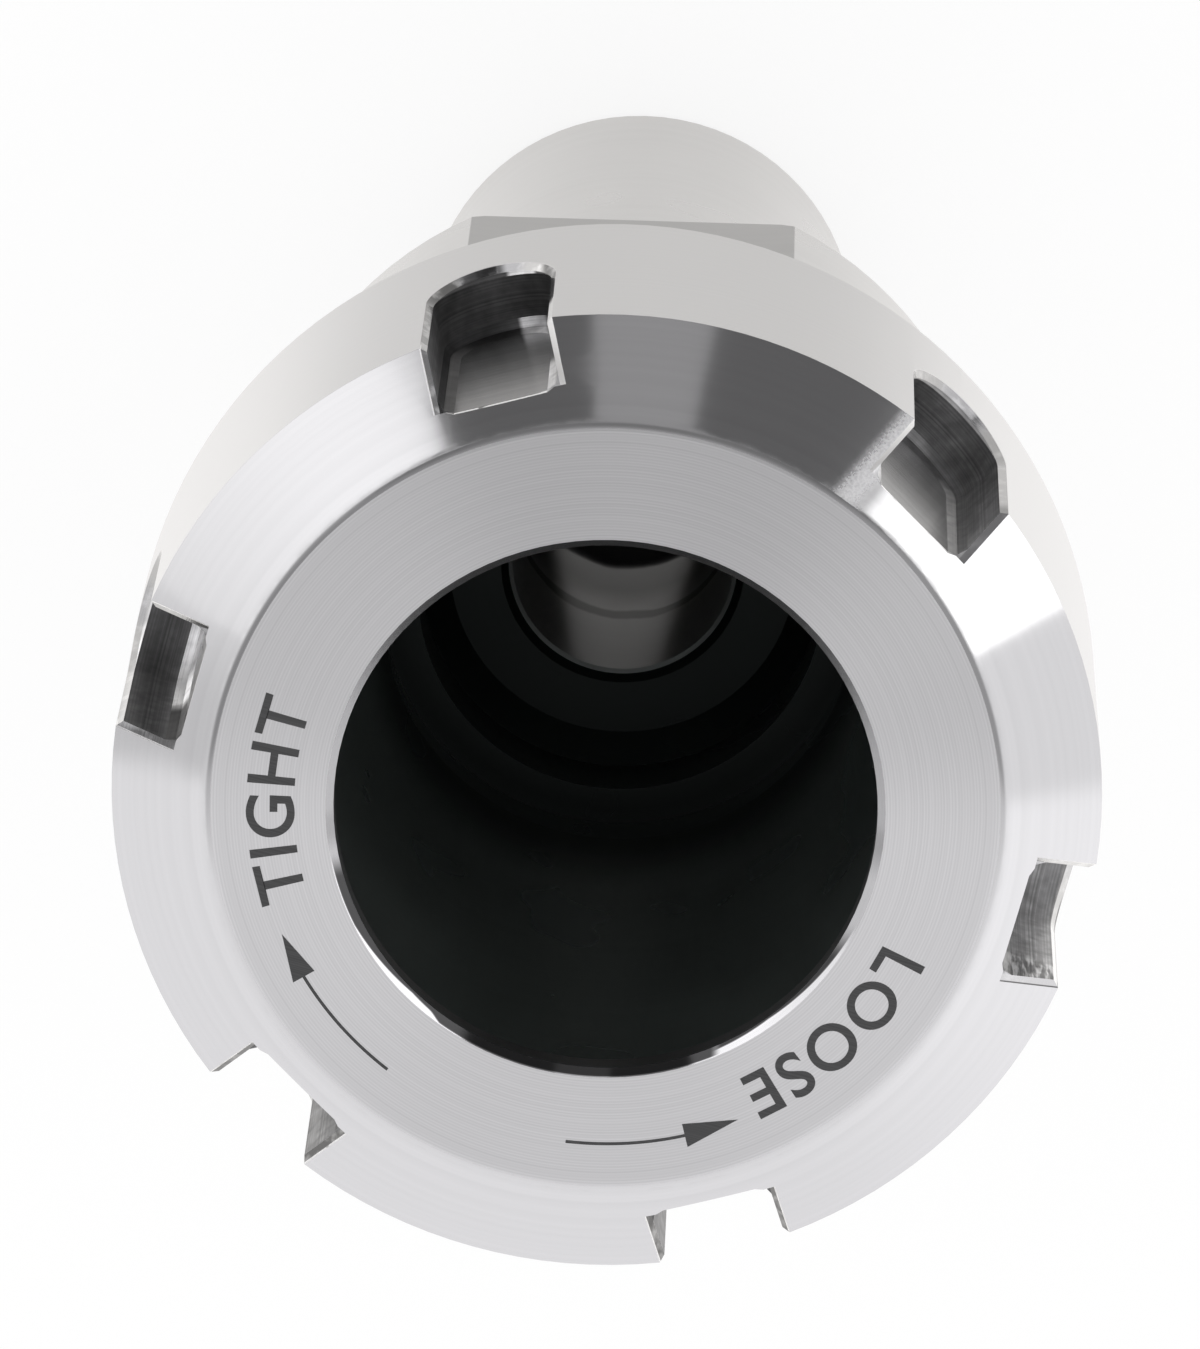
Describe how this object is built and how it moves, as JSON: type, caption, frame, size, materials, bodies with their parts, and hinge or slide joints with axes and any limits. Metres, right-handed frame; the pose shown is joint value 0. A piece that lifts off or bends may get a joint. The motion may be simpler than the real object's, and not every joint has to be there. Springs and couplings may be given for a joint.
{
  "type": "straight shank collet chuck",
  "caption": "Steel tool holder with a plain round shank, wrench flats, an internal collet taper and a slotted round clamping nut with a chamfered face.",
  "frame": {"origin": "centre of the shank's end face, on which the chuck stands", "axes": "+Z along the chuck's axis from the shank towards the nut; +Y out of one wrench flat"},
  "size_m": [0.05, 0.05, 0.102],
  "materials": {
    "ground_steel": "turned and ground, satin",
    "turned_steel": "fine turned, satin, with a brighter chamfer"
  },
  "bodies": {
    "chuck": {"chuck_body": "ground_steel"},
    "nut": {"clamping_nut": "turned_steel"}
  },
  "joints": [
    {"name": "nut_turn", "type": "hinge", "parent": "chuck", "child": "nut", "pos_m": [0, 0, 0.0855], "axis": [0, 0, 1], "range_deg": [-140, 2660]}
  ]
}
